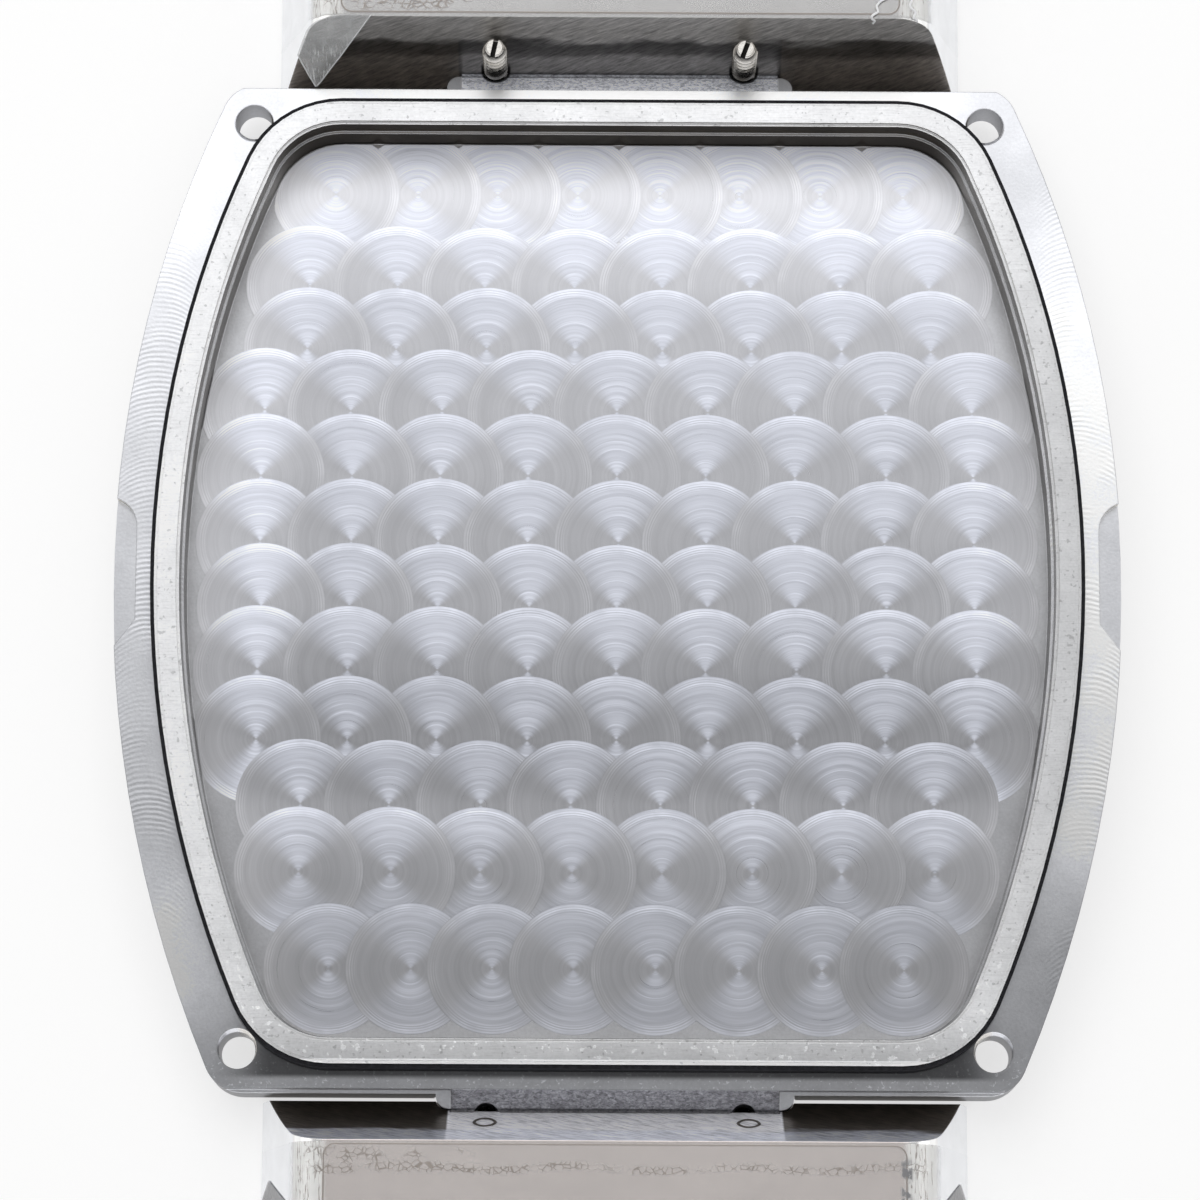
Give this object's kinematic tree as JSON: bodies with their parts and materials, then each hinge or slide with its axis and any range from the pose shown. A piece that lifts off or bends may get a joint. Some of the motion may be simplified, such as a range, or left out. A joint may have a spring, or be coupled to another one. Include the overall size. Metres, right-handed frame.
{
  "type": "watch case back",
  "caption": "Curved barrel-shaped watch back plate with a raised gasketed rim, corner screw holes, and a polished end link screwed to a tab at each end.",
  "frame": {"origin": "centre of the plate in plan, at the level of the flat undersides of the two end links", "axes": "+X to the right with the inner side up and 12 o'clock ahead, +Y towards 12 o'clock, +Z towards the movement"},
  "size_m": [0.0404, 0.0594, 0.0065],
  "materials": {
    "plate_steel": "milled flange, circular graining on the recessed floor",
    "gasket_rubber": "smooth black",
    "link_steel": "mirror polished steel",
    "screw_steel": "turned and threaded",
    "clear_film": "clear film"
  },
  "bodies": {
    "case_back": {"back_plate": "plate_steel", "case_gasket": "gasket_rubber", "end_link_12": "link_steel", "end_link_6": "link_steel", "protective_film_12": "clear_film", "protective_film_6": "clear_film"},
    "strap_screw_12_left": {"strap_screw_12_left": "screw_steel"},
    "strap_screw_12_right": {"strap_screw_12_right": "screw_steel"},
    "strap_screw_6_left": {"strap_screw_6_left": "screw_steel"},
    "strap_screw_6_right": {"strap_screw_6_right": "screw_steel"}
  },
  "joints": [
    {"name": "back_out_12_left", "type": "slide", "parent": "case_back", "child": "strap_screw_12_left", "axis": [0, 0, -1], "range_m": [0, 0.005]},
    {"name": "back_out_12_right", "type": "slide", "parent": "case_back", "child": "strap_screw_12_right", "axis": [0, 0, -1], "range_m": [0, 0.005]},
    {"name": "back_out_6_left", "type": "slide", "parent": "case_back", "child": "strap_screw_6_left", "axis": [0, 0, -1], "range_m": [0, 0.0012]},
    {"name": "back_out_6_right", "type": "slide", "parent": "case_back", "child": "strap_screw_6_right", "axis": [0, 0, -1], "range_m": [0, 0.0012]}
  ]
}
